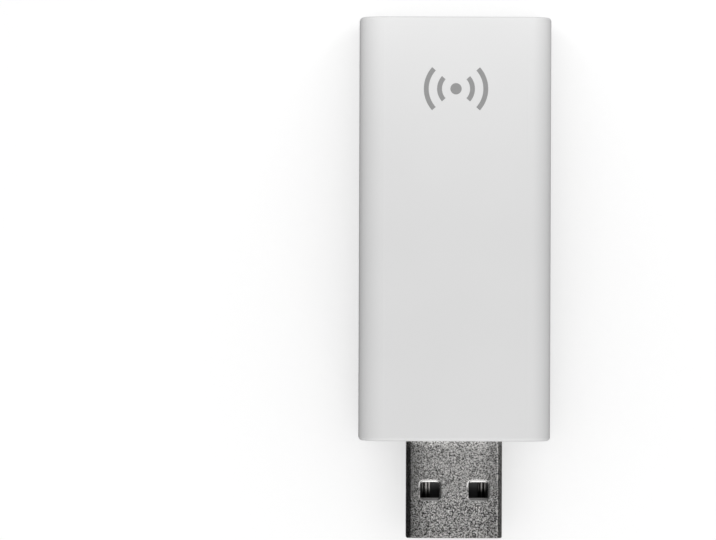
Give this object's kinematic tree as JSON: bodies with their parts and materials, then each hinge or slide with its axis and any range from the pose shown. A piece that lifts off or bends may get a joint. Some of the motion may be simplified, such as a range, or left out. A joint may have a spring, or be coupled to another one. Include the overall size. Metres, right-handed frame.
{
  "type": "usb radio stick",
  "caption": "Flat white radio stick for a smart home hub, with a folded steel USB-A plug at one end and a circuit board, radio can and chip antenna in a snap-fit case.",
  "frame": {"origin": "middle of the overall length and width, on the plane that the flat rear cover lies on", "axes": "+X across the stick, +Y along it away from the plug, so the plug points along -Y, and +Z out of the front cover"},
  "size_m": [0.024, 0.065, 0.01],
  "materials": {
    "case": "satin white moulded plastic",
    "board": "glass-epoxy board under a green solder mask",
    "plug_steel": "nickel-plated sheet steel with a fine grain",
    "insulator": "black moulded plastic",
    "contact": "nickel-plated copper alloy, polished",
    "chip_body": "black moulding compound",
    "ceramic_dark": "dark ceramic with tinned ends",
    "ceramic_tan": "tan ceramic with tinned ends",
    "ceramic_white": "white ceramic with tinned ends",
    "can_tin": "tinned sheet steel"
  },
  "bodies": {
    "root": {"front_cover": "case", "rear_cover": "case", "circuit_board": "board", "plug_shell": "plug_steel", "plug_insulator": "insulator", "contact_ground": "contact", "contact_data_plus": "contact", "contact_data_minus": "contact", "contact_power": "contact", "surge_protector": "chip_body", "ferrite_bead": "ceramic_dark", "supply_capacitors": "ceramic_tan", "voltage_regulator": "chip_body", "usb_bridge_chip": "chip_body", "bypass_capacitors": "ceramic_tan", "resistors": "ceramic_dark", "radio_chip": "chip_body", "radio_crystal": "can_tin", "can_frame": "can_tin", "can_lid": "can_tin", "matching_parts": "ceramic_tan", "chip_antenna": "ceramic_white"}
  },
  "joints": []
}
